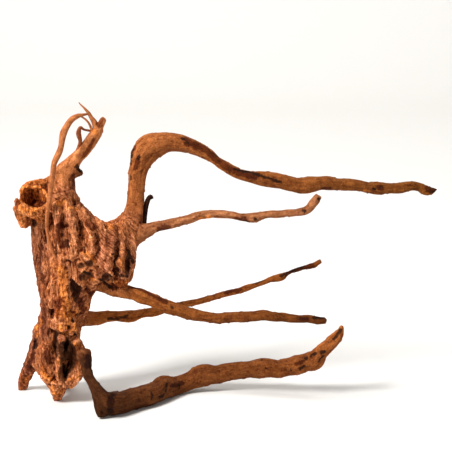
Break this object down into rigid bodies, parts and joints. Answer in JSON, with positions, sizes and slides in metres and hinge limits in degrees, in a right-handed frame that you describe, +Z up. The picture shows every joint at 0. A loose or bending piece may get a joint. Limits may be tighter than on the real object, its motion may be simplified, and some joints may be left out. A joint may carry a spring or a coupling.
{
  "type": "driftwood root",
  "caption": "Weathered driftwood root: a furrowed upright trunk with a hollow collar and a stub, and long root arms that sweep to one side",
  "frame": {"origin": "on the floor, under the middle of the whole root's box", "axes": "+X along the arms, from the trunk to their tips; +Y away from the viewer of the front; +Z up"},
  "size_m": [0.4585, 0.1409, 0.3273],
  "materials": {
    "wood": "rough, weathered, unfinished"
  },
  "bodies": {
    "root": {"driftwood_root": "wood"}
  },
  "joints": []
}
